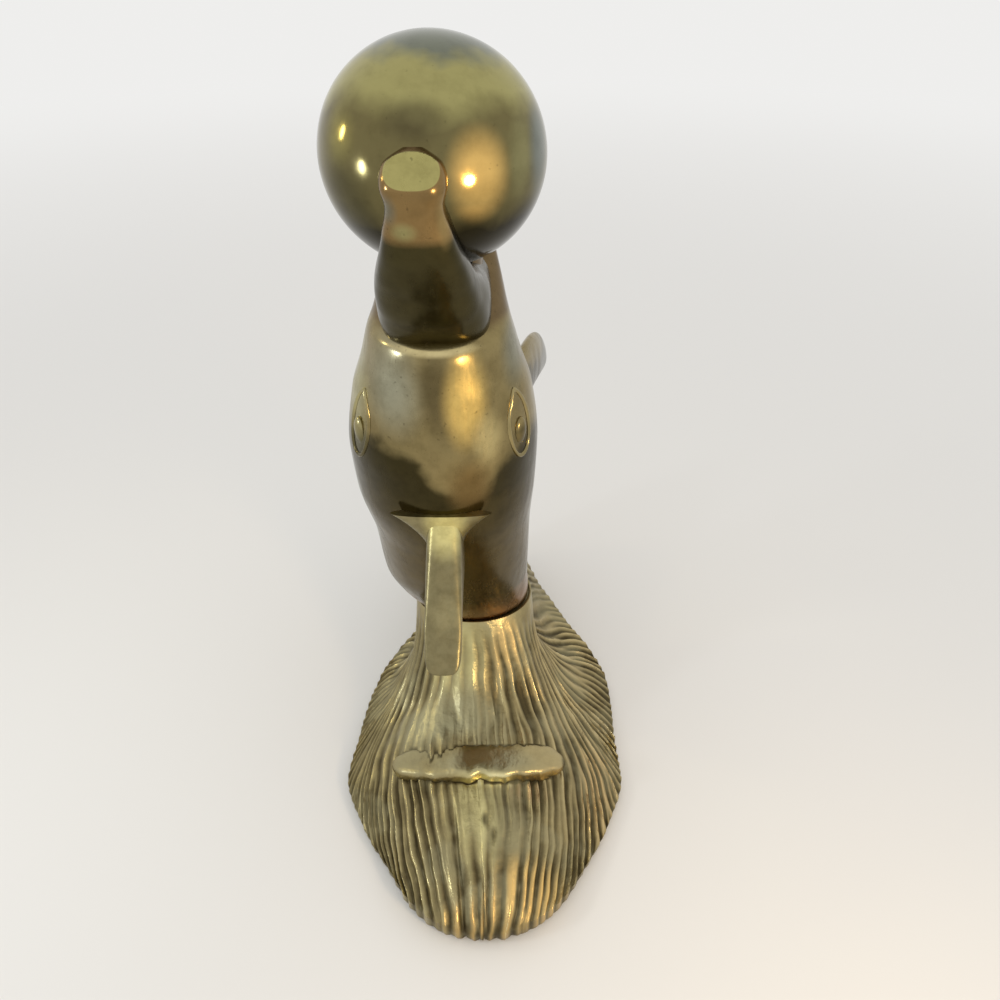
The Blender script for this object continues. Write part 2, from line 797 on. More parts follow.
@dataclass(frozen=True)
class BallBrass:
    """Mirror polished brass of the ball, browned underneath."""

    top: Colour = (0.185, 0.196, 0.148)
    band: Colour = (0.385, 0.350, 0.142)
    middle: Colour = (0.178, 0.150, 0.065)
    low: Colour = (0.024, 0.020, 0.009)
    mottle: Mottle = Mottle(0.007, 0.40, 0.75, 0.35, (0.52, 0.50, 0.46))
    specks: Specks = Specks(0.0010, 0.70, 0.76, 0.30, (0.04, 0.03, 0.012))
    roughness: float = 0.10
    bands: Tuple[float, float] = (0.194, 0.250)
    patches: Tuple[Patch, ...] = (
        Patch((-0.0125, -0.0315, 0.2370), (0.010, 0.010, 0.006), (0.105, 0.088, 0.043), 0.65),
        Patch((0.0015, -0.0320, 0.2260), (0.009, 0.012, 0.012), (0.950, 0.600, 0.180), 0.80),
        Patch((0.0108, -0.0250, 0.2290), (0.004, 0.012, 0.013), (0.300, 0.280, 0.130), 0.60),
        Patch((0.0155, -0.0180, 0.2310), (0.004, 0.012, 0.018), (0.170, 0.200, 0.190), 0.70),
        Patch((-0.0300, -0.0250, 0.2330), (0.006, 0.008, 0.009), (0.340, 0.300, 0.100), 0.50),
        Patch((-0.0300, -0.0260, 0.2200), (0.012, 0.014, 0.012), (0.075, 0.068, 0.034), 0.60))

    def material(self) -> bpy.types.Material:
        """Build the node tree.

        Returns:
            The material.
        """
        recipe = Recipe("mirror_ball_brass")
        level = recipe.sum(recipe.axis("Z"), recipe.swell(0.016, 0.012))
        height = recipe.rise(level, *self.bands, easing=Easing.EVEN)
        colour = recipe.ramp(height, ((0.20, self.low), (0.34, self.low), (0.48, self.middle),
                                      (0.74, self.middle), (0.85, self.band), (0.93, self.band),
                                      (1.0, self.top)))
        colour = recipe.mottled(recipe.patched(colour, self.patches), self.mottle)
        colour = recipe.specked(colour, self.specks)
        smudge = recipe.cloud(0.012, 4.0, 0.6)
        recipe.relief(((recipe.cloud(0.014, 2.0), 0.00016),), 0.4)
        return recipe.finish(colour, recipe.rise(smudge, 0.35, 0.75, self.roughness - 0.02,
                                                 self.roughness + 0.10))


@dataclass(frozen=True)
class ZincSteel:
    """Zinc plated steel of the stud, washer and nut."""

    bright: Colour = (0.56, 0.56, 0.54)
    dull: Colour = (0.34, 0.34, 0.33)
    roughness: float = 0.33

    def material(self) -> bpy.types.Material:
        """Build the node tree.

        Returns:
            The material.
        """
        recipe = Recipe("zinc_steel")
        spangle = recipe.cloud(0.0030, 3.0)
        colour = recipe.ramp(spangle, ((0.35, self.dull), (0.65, self.bright)))
        recipe.relief(((recipe.cloud(0.0008, 2.0), 0.00003),), 0.5)
        return recipe.finish(colour, recipe.rise(spangle, 0.3, 0.7, self.roughness,
                                                 self.roughness + 0.15))


@dataclass(frozen=True)
class Spots:
    """Spots on the wave: shares of the way round and down, and the side, 1 right or -1 left."""

    turn: np.ndarray
    side: np.ndarray
    share: np.ndarray

    def moved(self, round_it: float = 0.0, down_it: float = 0.0) -> "Spots":
        """Spots moved on by a share of the way round or down."""
        return Spots(self.turn + round_it, self.side, self.share + down_it)


@dataclass
class Strands:
    """Combed relief of the wave's skin, with its calm patches, pits and crease."""

    depth: float = 0.0016
    pitch: float = 0.0047
    shift: float = 1.0 / 80.0
    first_count: int = 10
    octaves: int = 4
    seed: int = 11
    # Least value and random extra of each strand's height, crest's place and sharpness.
    varied: Tuple[Tuple[float, float], ...] = ((0.60, 0.40), (0.42, 0.26), (0.90, 0.75))
    least_count: float = 4.0
    least_spread: float = 0.02
    splitting: Tuple[float, float] = (0.25, 0.75)
    falling_form: float = 2.3
    slow_bend: Swell = Swell(0.0024, 0.030, 3.0)
    fast_bend: Swell = Swell(0.0010, 0.0085, 9.0)
    fine_where: Swell = Swell(1.0, 0.011, 21.0)
    worn_where: Swell = Swell(1.0, 0.019, 33.0)
    dents: Swell = Swell(0.0004, 0.012, 15.0)
    stains: Swell = Swell(0.12, 0.006, 5.0)
    bend_in: Tuple[float, float] = (0.05, 0.35)
    strands_in: Tuple[float, float] = (0.004, 0.05)
    dents_in: Tuple[float, float] = (0.03, 0.1)
    worn_least: float = 0.62
    depth_share: float = 0.40
    fine_share: float = 0.14
    flat_tone: float = 0.34
    crease_x: float = -0.0104
    crease_y: float = -0.0595
    crease_lean: float = 0.114
    crease_depth: float = 0.0008
    crease_width: float = 0.0008
    crease_in: Tuple[float, float] = (0.052, 0.062)
    # Each calm patch: its middle across and along, its half sizes and how worn it is.
    calms: Tuple[Tuple[float, ...], ...] = (
        (-0.0150, -0.0260, 0.0210, 0.0090, 0.88), (-0.0020, -0.0590, 0.0085, 0.0160, 0.72),
        (-0.0040, -0.0020, 0.0100, 0.0120, 0.90))
    # Each pit: its middle across and along, its half sizes and its depth.
    pits: Tuple[Tuple[float, ...], ...] = (
        (0.0011, -0.0625, 0.0011, 0.0020, 0.0009), (0.0036, -0.0672, 0.0010, 0.0018, 0.0008),
        (0.0150, -0.0540, 0.0016, 0.0011, 0.0007), (0.0185, -0.0570, 0.0012, 0.0015, 0.0006),
        (-0.0150, -0.0300, 0.0012, 0.0009, 0.0004), (-0.0060, -0.0240, 0.0020, 0.0008, 0.0004))

    def depths(self, at: Spots, points: np.ndarray) -> Tuple[np.ndarray, np.ndarray]:
        """Grooves between the strands, which split as they fan out.

        Args:
            at: Spots to read.
            points: Points of the smooth skin there.

        Returns:
            Depth of the groove in metres, and how deep it looks from 0 to 1.
        """
        spread = np.linalg.norm(np.diff(points, axis=1), axis=-1) / np.abs(np.diff(at.turn, axis=1))
        spread = np.concatenate([spread, spread[:, :1]], axis=1)
        bend = (self.slow_bend.at(points) * eased(at.share, *self.bend_in)
                + self.fast_bend.at(points))
        around = at.side * at.turn + bend / np.maximum(spread, self.least_spread)
        fanned = np.maximum(spread / self.pitch, self.least_count) / self.first_count
        level = np.clip(np.log2(fanned), 0.0, self.octaves - 1.0)
        level = np.floor(level) + eased(level - np.floor(level), *self.splitting)
        height, local = np.zeros_like(spread), np.zeros_like(spread)
        rng = np.random.default_rng(self.seed)
        for octave in range(self.octaves):
            count = self.first_count * 2 ** octave
            weight = np.clip(1.0 - np.abs(level - octave), 0.0, 1.0)
            place = (around - self.shift) * count
            cell = np.floor(place)
            part = place - cell
            drawn = rng.random((3, 2 * count))[:, cell.astype(int) % (2 * count)]
            strong, crest, sharp = [low + more * own for (low, more), own in zip(self.varied, drawn)]
            rising = np.clip(part / crest, 0.0, 1.0) ** sharp
            falling = np.clip((1.0 - part) / (1.0 - crest), 0.0, 1.0) ** (self.falling_form - sharp)
            height += weight * strong * np.where(part < crest, rising, falling)
            local += weight * spread / count
        full = 2.0 * math.pi
        fine = 0.5 + 0.5 * np.sin(around * full * self.first_count * 2.0 ** np.round(level + 1.0))
        height -= self.fine_share * fine * eased(self.fine_where.at(points), 0.0, 0.45)
        groove = np.clip(1.0 - height, 0.0, 1.0)
        calm = self.calm(points) * eased(at.share, *self.strands_in)
        calm *= from_least(self.worn_least, eased(self.worn_where.at(points), -0.35, 0.25))
        depth = np.minimum(self.depth_share * local, self.depth) * groove * calm
        depth += np.abs(self.dents.at(points)) * eased(at.share, *self.dents_in)
        depth += self.marks(points)
        flat = self.flat_tone + self.stains.at(points)
        return depth, groove * calm + flat * (1.0 - calm)

    def calm(self, points: np.ndarray) -> np.ndarray:
        """How strongly the strands show, weak on the worn patches.

        Args:
            points: Points of the smooth skin.

        Returns:
            Shares from 0 to 1.
        """
        share = np.ones(points.shape[:-1])
        for x, y, wide, long, worn in self.calms:
            away = ((points[..., 0] - x) / wide) ** 2 + ((points[..., 1] - y) / long) ** 2
            share -= worn * np.exp(-away)
        return np.clip(share, 0.0, 1.0)

    def marks(self, points: np.ndarray) -> np.ndarray:
        """Depth of the casting pits and of the crease down the nose.

        Args:
            points: Points of the smooth skin.

        Returns:
            Depths in metres.
        """
        x, y = points[..., 0], points[..., 1]
        depth = np.zeros_like(x)
        for pit_x, pit_y, wide, long, deep in self.pits:
            depth += deep * np.exp(-((x - pit_x) / wide) ** 2 - ((y - pit_y) / long) ** 2)
        line = self.crease_x + (self.crease_y - y) * self.crease_lean
        along = eased(-y, *self.crease_in)
        return depth + self.crease_depth * along * np.exp(-((x - line) / self.crease_width) ** 2)


@dataclass
class Flukes:
    """Tail flukes on the wave's front slope, with the stock and the web that lead to them."""

    x: float = -0.0022
    back: float = -0.0430
    span: float = 0.0650
    chord: float = 0.0150
    thickness: float = 0.0085
    tilt: float = 4.0
    square: float = 4.2
    blunt: float = 5.0
    end: float = 0.12
    taper: float = 0.12
    sweep: float = 0.003
    sunk: float = 0.0009
    droop: float = 0.0025
    worn: float = 0.66
    tip: Tuple[float, float] = (0.950, 0.995)
    left_sunk: float = 0.0022
    left_over: Tuple[float, float] = (0.1, 0.6)
    notch_x: float = 0.001
    notch_width: float = 0.0026
    notch_depth: float = 0.0009
    notch_shift: float = 0.0008
    # Each ripple of the ragged edges: its size, its waves and where it starts.
    ragged: Tuple[Tuple[float, ...], ...] = ((0.00022, 17.0, 0.0), (0.00018, 31.0, 1.0))
    stock_rise: float = 0.0021
    stock_half_width: float = 0.0105
    stock_taper: float = 0.45
    stock_round: float = 0.6
    stock_start: float = 0.8
    stock_in: Tuple[float, float] = (0.05, 0.40)
    stock_out: Tuple[float, float] = (1.15, 1.0)
    web_rise: float = 0.0022
    web_rear: Tuple[float, float] = (-0.0200, -0.0370)
    web_front: Tuple[float, float] = (-0.0460, -0.0430)
    web_right: Tuple[float, float] = (0.92, 0.70)
    web_left: Tuple[float, float] = (-1.0, -0.20)

    def rise(self, x: np.ndarray, y: np.ndarray) -> np.ndarray:
        """Rise of the tail stock and of the web that meets the flukes.

        Args:
            x: Places across.
            y: Places along.

        Returns:
            Rises over the smooth wave.
        """
        start = FOOT.y - FOOT_HALF_DEPTH * self.stock_start
        part = (start - y) / (start - self.back)
        middle = FOOT.x + (self.x - FOOT.x) * part
        half_width = self.stock_half_width * (1.0 - self.stock_taper * np.clip(part, 0.0, 1.0))
        off = np.clip(np.abs(x - middle) / half_width, 0.0, 1.0)
        along = eased(part, *self.stock_in) * eased(part, *self.stock_out)
        stock = self.stock_rise * along * (1.0 - off * off) ** self.stock_round
        across = (x - self.x) / (0.5 * self.span)
        web = eased(y, *self.web_rear) * eased(y, *self.web_front)
        web = web * eased(across, *self.web_right) * eased(across, *self.web_left)
        return np.maximum(stock, self.web_rise * web)

    def form(self, level: float) -> bpy.types.Mesh:
        """Flukes, notched in the middle.

        Args:
            level: Height of the wave under their middle.

        Returns:
            The closed mesh.
        """
        out = np.sin(np.linspace(-0.5, 0.5, 91) * math.pi)
        full = np.maximum(rounding(out, self.blunt), self.end)
        notch = np.exp(-((out * self.span / 2.0 - self.notch_x) / self.notch_width) ** 2)
        chord = (self.chord / 2.0 * full * (1.0 - self.taper * np.abs(out))
                 - self.notch_depth * notch)
        ragged = sum(size * np.sin(out * waves + start) for size, waves, start in self.ragged)
        thick = self.thickness / 2.0 * full
        left = eased(-out, *self.left_over)
        centres = rows(self.x + out * self.span / 2.0,
                       self.back + self.sweep * np.abs(out) + self.notch_shift * notch + ragged,
                       level - self.sunk - self.droop * out * out - self.left_sunk * left)
        tilt = math.radians(self.tilt)
        crest = self.worn - 0.5 * eased(out, *self.tip)
        return loft(centres, rows(0.0, math.cos(tilt) * chord, -math.sin(tilt) * chord),
                    rows(0.0, math.sin(tilt) * thick, math.cos(tilt) * thick),
                    72, self.square, {"crest": crest})


@dataclass
class WaveCasting:
    """Hollow wave with strands that run from the dolphin's foot to the table."""

    length: float = 0.192
    width: float = 0.108
    wall: float = 0.0038
    edge: float = 0.0045
    tuck: float = 0.0012
    end_power: float = 18.0
    plan_power: float = 7.0
    lead: float = 1.35
    sway: float = 0.012
    inside_tone: float = 0.62
    lip: float = 0.0005
    lip_width: float = 0.0010
    seat_depth: float = 0.0010
    flare: float = 0.12
    core: float = 0.0080
    core_inset: float = 0.0010
    boss_radius: float = 0.0110
    boss_drop: float = 0.0020
    bevel: float = 0.0003
    # Inset and height of each step of the rounded rim, from the top down.
    rim_steps: Tuple[Tuple[float, float], ...] = ((0.0, 0.0030), (0.0003, 0.0014), (0.0007, 0.0005))
    inner_short: float = 0.06
    inner_rows: int = 6
    inner_spacing: float = 6.6
    columns: int = 520
    rings: int = 64
    probe: float = 0.01
    strands: Strands = field(default_factory=Strands)
    flukes: Flukes = field(default_factory=Flukes)
    # Share of the half length, sideways place, half width, crest height, shoulder, steepness.
    stations: SmoothTable = field(default_factory=lambda: SmoothTable((
        (-1.000, 0.0005, 0.593, 0.0125, 0.426, 3.0),
        (-0.812, 0.0010, 0.667, 0.0170, 0.556, 3.6),
        (-0.583, 0.0005, 0.861, 0.0215, 0.685, 4.2),
        (-0.365, 0.0000, 1.000, 0.0245, 0.741, 4.2),
        (-0.188, 0.0005, 0.981, 0.0330, 0.611, 4.0),
        (-0.031, 0.0015, 0.972, 0.0520, 0.519, 4.4),
        (0.146, 0.0028, 0.935, 0.0570, 0.485, 4.8),
        (0.312, 0.0034, 0.828, 0.0580, 0.380, 5.0),
        (0.521, 0.0038, 0.630, 0.0610, 0.328, 5.2),
        (0.771, 0.0015, 0.491, 0.0680, 0.296, 5.2),
        (1.000, 0.0000, 0.389, 0.0730, 0.278, 5.0))))
    # Share of the way round, and where a strand bows out, across and along.
    bows: SmoothTable = field(default_factory=lambda: SmoothTable((
        (0.00, 0.000, -0.458), (0.10, 0.370, -0.458), (0.20, 0.700, -0.450),
        (0.38, 0.960, -0.360), (0.50, 0.840, -0.130), (0.60, 0.704, 0.120),
        (0.70, 0.600, 0.330), (0.80, 0.407, 0.500), (0.90, 0.222, 0.646),
        (1.00, 0.000, 0.680))))

    @property
    def pad(self) -> float:
        """Height of the seat's flat."""
        return SEAT_HEIGHT - GAP

    def station(self, y: np.ndarray) -> List[np.ndarray]:
        """Sizes of the wave across its length.

        Args:
            y: Places along the wave.

        Returns:
            Sideways place, half width, crest height, shoulder and steepness.
        """
        sideways, wide, crest, shoulder, steep = self.stations.at(2.0 * y / self.length)
        half = self.width / 2.0
        return [sideways, wide * half, crest, shoulder * half, steep]

    def height(self, x: np.ndarray, y: np.ndarray) -> np.ndarray:
        """Height of the smooth wave.

        Args:
            x: Places across, from the wave's own middle.
            y: Places along.

        Returns:
            Heights over the table.
        """
        _, half_width, crest, shoulder, steep = self.station(y)
        falling = 1.0 / (1.0 + (np.abs(x) / shoulder) ** steep)
        at_edge = 1.0 / (1.0 + (half_width / shoulder) ** steep)
        share = np.clip((falling - at_edge) / (1.0 - at_edge), 0.0, None)
        ends = rounding(2.0 * y / self.length, self.end_power)
        return self.edge + (crest - self.edge) * share * ends

    def outline(self, turn: np.ndarray) -> Tuple[np.ndarray, np.ndarray]:
        """Plan of the outer edge at shares of the way round from the nose to the rear."""
        y = -0.5 * self.length * np.cos(math.pi * turn)
        return self.station(y)[1] * rounding(2.0 * y / self.length, self.plan_power), y

    def flow(self, at: Spots) -> Tuple[np.ndarray, np.ndarray]:
        """Plan of the strands from the seat to the edge.

        Args:
            at: Spots to read.

        Returns:
            Places across and along.
        """
        full = 2.0 * math.pi
        turn = at.turn + self.sway * np.sin(full * at.turn) * np.sin(full * at.share)
        grown = self.lip + self.lip_width
        angle = math.pi * turn
        aside, back = self.bows.at(turn)
        end_x, end_y = self.outline(turn ** self.lead)
        keep = 1.0 - at.share
        near, mid, far = keep * keep, 2.0 * at.share * keep, at.share * at.share
        x = ((FOOT_HALF_WIDTH + grown) * np.sin(angle) * near
             + aside * self.width / 2.0 * mid + end_x * far)
        y = ((FOOT.y - (FOOT_HALF_DEPTH + grown) * np.cos(angle)) * near
             + back * self.length / 2.0 * mid + end_y * far)
        return x, y

    def smooth(self, at: Spots) -> np.ndarray:
        """Points of the smooth outer skin.

        Args:
            at: Spots to read.

        Returns:
            Points as (..., 3).
        """
        across, y = self.flow(at)
        level = self.height(across, y)
        near_seat = np.clip(1.0 - at.share / self.flare, 0.0, 1.0) ** 3.0
        x = at.side * across + (FOOT.x * (1.0 - at.share) + self.station(y)[0] * at.share)
        level = level + self.flukes.rise(x, y)
        return rows(x, y, level + (self.pad + self.seat_depth - level) * near_seat)

    def way(self, at: Spots) -> np.ndarray:
        """Way straight out of the smooth skin.

        Args:
            at: Spots to read.

        Returns:
            Unit vectors as (..., 3).
        """
        step = self.probe
        held = Spots(np.clip(at.turn, step, 1.0 - step), at.side, np.clip(at.share, step, 1.0 - step))
        round_it = self.smooth(held.moved(round_it=step)) - self.smooth(held.moved(round_it=-step))
        down_it = self.smooth(held.moved(down_it=step)) - self.smooth(held.moved(down_it=-step))
        way = np.cross(round_it, down_it)
        way /= np.linalg.norm(way, axis=-1, keepdims=True)
        return way * np.where(way[..., 2:] > 0.0, 1.0, -1.0)

    def circle(self, ring: Spots, half_width: float, half_depth: float, level: float) -> np.ndarray:
        """Ring of points round the stud's line."""
        angle = math.pi * ring.turn
        return rows(FOOT.x + ring.side * half_width * np.sin(angle),
                    FOOT.y - half_depth * np.cos(angle), level)

    def rim(self, base: np.ndarray, inset: float, level: float) -> np.ndarray:
        """Ring moved in from the outline.

        Args:
            base: Ring at the outline.
            inset: Distance in from it.
            level: Height of the ring.

        Returns:
            Points as (columns, 3).
        """
        ring = base.copy()
        ring[:, 0] *= 1.0 - inset / np.maximum(np.abs(ring[:, 0]), inset * 2.0)
        ring[:, 1] *= 1.0 - inset / np.maximum(np.abs(ring[:, 1]), self.length / 3.0)
        ring[:, 2] = level
        return ring

    def shell(self) -> bpy.types.Mesh:
        """Closed shell: seat, strands, rim, inside and boss.

        Returns:
            The mesh with its crest attribute.
        """
        column = np.arange(2 * self.columns + 1)
        right = column <= self.columns
        turn = np.where(right, column, 2 * self.columns - column) / self.columns
        ring = Spots(turn, np.where(right, 1.0, -1.0), np.zeros_like(turn))
        even = np.linspace(0.0, 1.0, self.rings + 1)
        turns, shares = np.meshgrid(turn, 0.5 * even + 0.25 * (1.0 - np.cos(math.pi * even)))
        grid = Spots(turns, np.broadcast_to(ring.side, turns.shape), shares)
        points = self.smooth(grid)
        depth, groove = self.strands.depths(grid, points)
        outer = points - self.way(grid) * depth[..., None]
        hole = (STUD_RADIUS + GAP,) * 2
        boss = (self.boss_radius,) * 2
        foot = (FOOT_HALF_WIDTH + self.lip, FOOT_HALF_DEPTH + self.lip)
        brim = tuple(half + self.bevel for half in foot)
        roof = (FOOT_HALF_WIDTH - self.core_inset, FOOT_HALF_DEPTH - self.core_inset)
        high, low = self.pad + self.seat_depth, self.pad - self.core
        top = [self.circle(ring, *radii, level) for radii, level in
               ((hole, self.pad), (foot, self.pad), (foot, high - self.bevel), (brim, high))]
        under = [self.rim(outer[-1], inset, level) for inset, level in
                 (*self.rim_steps, (self.tuck, 0.0))]
        under.append(self.rim(points[-1], self.wall, 0.0))
        inside = []
        for part in (1.0 - self.inner_short) * (1.0 - np.arange(self.inner_rows) / self.inner_spacing):
            row = ring.moved(down_it=part)
            inside.append(self.smooth(row) - self.way(row) * self.wall)
        bottom = [self.circle(ring, *radii, level) for radii, level in
                  ((roof, low), (boss, low), (boss, low - self.boss_drop),
                   (hole, low - self.boss_drop), (hole, self.pad))]
        table = np.concatenate([top, outer, under, inside, bottom])
        table[:, -1] = table[:, 0]
        shade = np.full(table.shape[:2], self.inside_tone)
        start, end = len(top), len(top) + len(outer)
        shade[start:end] = groove
        shade[end:end + len(self.rim_steps)] = groove[-1]
        return skin(table, {"crest": 1.0 - shade})

    def build(self, finish: WaveBrass) -> bpy.types.Object:
        """Join the shell and the flukes and dress them.

        Args:
            finish: Finish of the casting.

        Returns:
            The piece.
        """
        level = float(self.height(np.array(0.0), np.array(self.flukes.back)))
        mesh = combined(self.shell(), ((self.flukes.form(level), Joining.UNION),))
        return piece("wave_casting", mesh, finish.material(),
                     ("wave_base",), 55.0)


@dataclass
class HeldBall:
    """Ball between the jaws, a little flattened."""

    radius: float = 0.0282
    squash: float = 0.947
    centre: Vector = field(default_factory=lambda: Vector((-0.0105, -0.0065, 0.2250)))
    pin_radius: float = 0.0020
    pin_length: float = 0.0130
    pin_angle: float = 62.0

    def reach(self, angle: np.ndarray) -> np.ndarray:
        """Distance from the centre to the skin at an angle in radians from level."""
        return self.radius / np.hypot(np.cos(angle), np.sin(angle) / self.squash)

    def form(self, grown: float = 0.0) -> bpy.types.Mesh:
        """Ball, or the grown ball that cuts its seat.

        Args:
            grown: Extra radius.

        Returns:
            The closed mesh.
        """
        build = bmesh.new()
        bmesh.ops.create_uvsphere(build, u_segments=160, v_segments=96, radius=1.0)
        radius, height = self.radius + grown, self.radius * self.squash + grown
        bmesh.ops.scale(build, verts=build.verts, vec=(radius, radius, height))
        bmesh.ops.translate(build, verts=build.verts, vec=self.centre)
        return made_mesh(build)

    def bore(self) -> bpy.types.Mesh:
        """Cutter for the pin's bore.

        Returns:
            The closed mesh.
        """
        angle = math.radians(self.pin_angle)
        way = Vector((0.0, math.cos(angle), -math.sin(angle)))
        middle = self.centre + way * (float(self.reach(np.array(angle))) + GAP / 2.0)
        half = way * (self.pin_length / 2.0 + GAP)
        return rod(self.pin_radius + GAP, middle - half, middle + half, 32)

    def build(self, finish: BallBrass) -> bpy.types.Object:
        """Make the ball with its bore and dress it."""
        mesh = combined(self.form(), ((self.bore(), Joining.CUT),))
        return piece("polished_ball", mesh, finish.material(), ("held_ball",))


@dataclass
class DolphinCasting:
    """Body, head, both jaws and the eyes."""

    columns: int = 176
    rings: int = 190
    # Height over the foot, sideways place, place along, half width and half depth.
    stations: SmoothTable = field(default_factory=lambda: SmoothTable((
        (0.0000, 0.0066, 0.0140, 0.0215, 0.0168),
        (0.0070, 0.0046, 0.0124, 0.0234, 0.0192),
        (0.0150, 0.0024, 0.0104, 0.0251, 0.0216),
        (0.0260, 0.0007, 0.0080, 0.0267, 0.0242),
        (0.0470, 0.0003, 0.0042, 0.0272, 0.0266),
        (0.0680, -0.0009, 0.0010, 0.0296, 0.0285),
        (0.0830, -0.0010, -0.0005, 0.0300, 0.0285),
        (0.1030, -0.0005, -0.0022, 0.0272, 0.0262),
        (0.1150, -0.0003, -0.0032, 0.0232, 0.0246),
        (0.1235, -0.0002, -0.0042, 0.0207, 0.0226),
        (0.1275, 0.0000, -0.0010, 0.0192, 0.0190),
        (0.1320, 0.0000, 0.0040, 0.0179, 0.0142),
        (0.1370, 0.0000, 0.0095, 0.0164, 0.0105),
        (0.1450, 0.0000, 0.0155, 0.0142, 0.0085),
        (0.1550, 0.0000, 0.0205, 0.0118, 0.0075),
        (0.1630, 0.0000, 0.0240, 0.0092, 0.0056),
        (0.1670, 0.0000, 0.0252, 0.0055, 0.0028))))
    # Degrees round the ball, thickness and half width of the upper jaw.
    jaw_stations: SmoothTable = field(default_factory=lambda: SmoothTable((
        (0.0, 0.0230, 0.0146), (22.0, 0.0230, 0.0150), (38.0, 0.0155, 0.0136),
        (54.0, 0.0098, 0.0118), (68.0, 0.0078, 0.0098), (82.0, 0.0072, 0.0080),
        (94.0, 0.0078, 0.0066), (101.0, 0.0084, 0.0074), (109.0, 0.0062, 0.0071),
        (115.0, 0.0014, 0.0048))))
    jaw_start: float = 100.0
    jaw_overlap: float = 0.0030
    jaw_shift: float = -0.0021
    root_shift_share: float = 0.35
    jaw_shifting: Tuple[float, float] = (15.0, 50.0)
    jaw_square: float = 2.7
    jaw_least: float = 0.01
    lip_start: float = 0.90
    lip_length: float = 0.10
    lip_round: float = 0.88
    mouth_half_width: float = 0.0125
    mouth_back: float = -0.004
    mouth_over_foot: float = 0.1250
    mouth_taper: float = 0.15
    mouth_reach: float = 0.8
    eye_turn: float = 34.0
    eye_over_foot: float = 0.0970
    eye_length: float = 0.0220
    eye_width: float = 0.0098
    eye_rim: float = 0.0009
    eye_sink: float = 0.0003
    eye_point: float = 0.45
    eye_steps: int = 72
    eye_sides: int = 14
    eye_worn: Tuple[float, float] = (0.25, 1.0)
    pupil_radius: float = 0.0034
    pupil_form: Tuple[float, float, float] = (0.42, 0.75, 1.35)
    pupil_drop: float = 0.0026
    stud_in_body: float = 0.0200
    lip_slant: float = 45.0
    lip_reach: float = 0.0266
    lip_cutter: float = 0.0400

    def station(self, over_foot: float) -> Tuple[Vector, float, float]:
        """Centre, half width and half depth of the body at a height over the foot."""
        aside, back, half_width, half_depth = [float(v) for v in self.stations.at(over_foot)]
        return (Vector((DOLPHIN_X + aside, back, SEAT_HEIGHT + over_foot)), half_width, half_depth)

    def form(self, grown: float = 0.0) -> bpy.types.Mesh:
        """Body, head and lower jaw.

        Args:
            grown: Extra half width and half depth, for a cutter.

        Returns:
            The closed mesh.
        """
        part = np.linspace(0.0, 1.0, self.rings + 1)
        over_foot = self.stations.places[-1] * np.sin(part * math.pi / 2.0) ** 0.9
        aside, back, half_width, half_depth = self.stations.at(over_foot)
        centres = rows(DOLPHIN_X + aside, back, SEAT_HEIGHT + over_foot)
        return loft(centres, rows(half_width + grown, 0.0, 0.0), rows(0.0, half_depth + grown, 0.0),
                    self.columns, layers={"jaw": 0.0, "worn": 0.0})

    def upper_jaw(self, ball: HeldBall) -> bpy.types.Mesh:
        """Upper jaw along the front of the ball, to its rounded lip.

        Args:
            ball: Ball that it holds.

        Returns:
            The closed mesh.
        """
        travel = self.jaw_stations.places[-1] * np.sin(np.linspace(0.0, 0.5, 111) * math.pi)
        thickness, half_width = self.jaw_stations.at(travel)
        angle = np.radians(self.jaw_start - travel)
        outward = rows(0.0, -np.cos(angle), -np.sin(angle))
        reach = ball.reach(angle) + (thickness - self.jaw_overlap) / 2.0
        centres = np.array(ball.centre) + outward * reach[:, None]
        shifted = from_least(self.root_shift_share, eased(travel, *self.jaw_shifting))
        centres[:, 0] += self.jaw_shift * shifted
        deep = outward * ((thickness + self.jaw_overlap) / 2.0)[:, None]
        share = travel / self.jaw_stations.places[-1]
        closing = np.clip((share - self.lip_start) / self.lip_length, 0.0, 1.0)
        half_width = half_width * rounding(self.lip_round * closing, 2.0)
        return loft(centres, rows(half_width, 0.0, 0.0), deep, 128, self.jaw_square,
                    {"jaw": from_least(self.jaw_least, share), "worn": 0.0})

    def lip_cut(self, ball: HeldBall) -> bpy.types.Mesh:
        """Cutter for the flat on the upper jaw's lip.

        Args:
            ball: Ball that the jaw holds.

        Returns:
            The closed mesh.
        """
        build = bmesh.new()
        bmesh.ops.create_cube(build, size=self.lip_cutter)
        slant = math.radians(self.lip_slant)
        way = Vector((0.0, -math.cos(slant), math.sin(slant)))
        middle = ball.centre + way * (self.lip_reach + self.lip_cutter / 2.0)
        turn = way.to_track_quat("Z", "Y").to_matrix().to_4x4()
        bmesh.ops.transform(build, matrix=Matrix.Translation(middle) @ turn, verts=build.verts)
        return made_mesh(build)

    def mouth(self, ball: HeldBall) -> bpy.types.Mesh:
        """Floor of the open mouth under the ball.

        Args:
            ball: Ball over it.

        Returns:
            The closed mesh.
        """
        share = np.linspace(0.0, 1.0, 13)
        narrow = self.mouth_half_width * (1.0 - self.mouth_taper * (1.0 - share) ** 2)
        bottom = SEAT_HEIGHT + self.mouth_over_foot
        top = ball.centre.z - ball.radius * ball.squash * self.mouth_reach
        centres = rows(DOLPHIN_X, self.mouth_back, bottom + (top - bottom) * share)
        return loft(centres, rows(narrow, 0.0, 0.0), rows(0.0, narrow, 0.0), 72)

